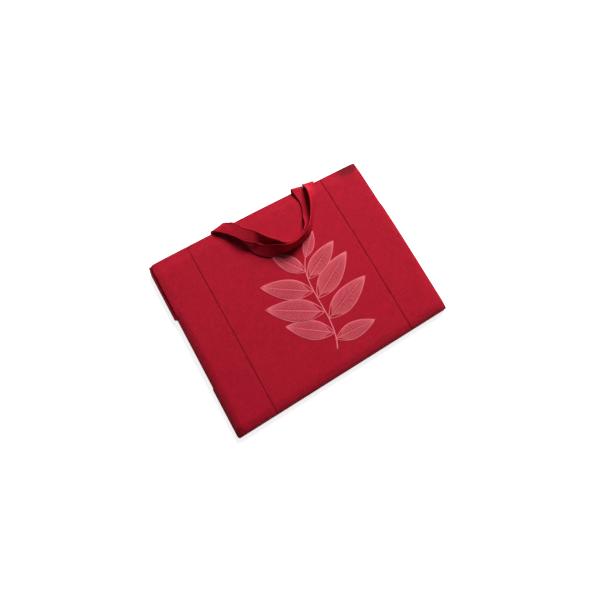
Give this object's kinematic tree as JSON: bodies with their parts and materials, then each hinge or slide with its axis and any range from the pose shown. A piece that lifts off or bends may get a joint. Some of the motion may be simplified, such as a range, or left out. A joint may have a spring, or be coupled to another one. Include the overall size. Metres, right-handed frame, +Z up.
{
  "type": "mat carry bag",
  "caption": "Flat rectangular cloth bag lying on its back with a folded exercise mat inside, two soft band handles flopped over the front and a leaf sprig printed on it.",
  "frame": {"origin": "on the table, under the middle of the whole bag's bounding box", "axes": "+X along the mouth, +Y from the bottom edge up to the mouth, +Z up from the table, out of the printed front"},
  "size_m": [0.511, 0.4144, 0.0537],
  "materials": {
    "linen": "matte",
    "facing": "matte",
    "handle": "matte",
    "mat": "matte",
    "print": "matte"
  },
  "bodies": {
    "root": {"front_panel": "linen", "side_strip_right": "linen", "side_strip_left": "linen", "back_panel": "linen", "side_pleat_left": "facing", "side_pleat_right": "facing", "mouth_facing_front": "facing", "mouth_facing_back": "facing", "folded_mat": "mat", "handle_back": "handle", "handle_front": "handle", "leaf_print": "print"}
  },
  "joints": []
}
